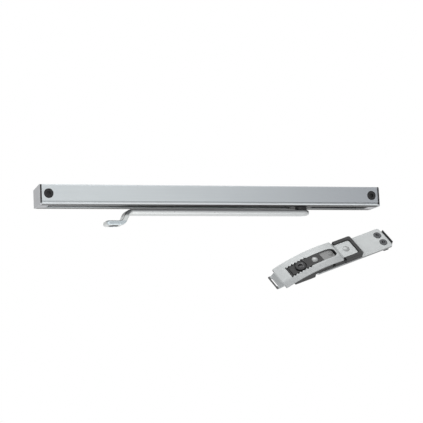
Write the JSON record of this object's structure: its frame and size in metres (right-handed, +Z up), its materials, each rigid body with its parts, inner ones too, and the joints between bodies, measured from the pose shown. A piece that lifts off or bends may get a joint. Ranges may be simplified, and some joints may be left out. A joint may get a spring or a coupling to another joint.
{
  "type": "door closer guide rail",
  "caption": "Overhead door-closer guide rail with end caps, sliding cranked arm and a separate sprung hold-open unit for its channel.",
  "frame": {"origin": "middle of the rail's back face, which lies against the door frame", "axes": "+X along the rail, +Y out of the back face into the door frame, +Z up; the slot opens downwards"},
  "size_m": [0.4498, 0.2838, 0.1556],
  "materials": {
    "rail_aluminium": "satin anodised, drawn lengthwise",
    "end_aluminium": "satin",
    "black_plastic": "moulded, matt",
    "slider_plastic": "moulded, satin",
    "buffer_rubber": "moulded, matt",
    "black_screw": "black oxide",
    "arm_steel": "zinc plated, satin",
    "plated_steel": "bright zinc plated sheet",
    "spring_steel": "bright spring steel",
    "rivet_steel": "bright"
  },
  "bodies": {
    "rail": {"rail_profile": "rail_aluminium", "end_insert_left": "black_plastic", "end_insert_right": "black_plastic", "end_plate_left": "end_aluminium", "end_plate_right": "end_aluminium", "fixing_screw_left": "black_screw", "fixing_screw_right": "black_screw", "base_plate": "plated_steel", "end_pad": "black_plastic", "clamp_block": "black_screw", "clamp_screw_front": "black_screw", "clamp_screw_rear": "black_screw", "stop_buffer": "buffer_rubber", "tongue_rivet": "rivet_steel"},
    "slider": {"slider_block": "slider_plastic", "slider_pin": "arm_steel"},
    "arm": {"arm_bar": "arm_steel", "arm_bush": "slider_plastic"},
    "leaf": {"detent_leaf": "plated_steel"},
    "carrier": {"carrier_block": "black_plastic", "carrier_nut": "rivet_steel", "carrier_rivet": "rivet_steel", "detent_spring": "spring_steel"},
    "adjuster": {"adjuster_screw": "black_screw"}
  },
  "joints": [
    {"name": "slider_travel", "type": "slide", "parent": "rail", "child": "slider", "axis": [1, 0, 0], "range_m": [-0.307, 0.065]},
    {"name": "arm_swing", "type": "hinge", "parent": "slider", "child": "arm", "pos_m": [0.121, -0.017, -0.01955], "axis": [0, 0, 1], "range_deg": [0, 150]},
    {"name": "leaf_flex", "type": "hinge", "parent": "rail", "child": "leaf", "pos_m": [0.08054, -0.2442, -0.09718], "axis": [0.3284, -0.5792, -0.7461], "range_deg": [0, 0.9], "stiffness_Nm_per_rad": 12},
    {"name": "carrier_shift", "type": "hinge", "parent": "leaf", "child": "carrier", "pos_m": [0.06676, -0.11854, -0.20079], "axis": [-0.3284, 0.5792, 0.7461], "range_deg": [-0.9, 0]},
    {"name": "adjuster_turn", "type": "hinge", "parent": "carrier", "child": "adjuster", "pos_m": [0.0204, -0.25145, -0.11801], "axis": [-0.2839, -0.8139, 0.5069], "range_deg": [0, 90]}
  ]
}
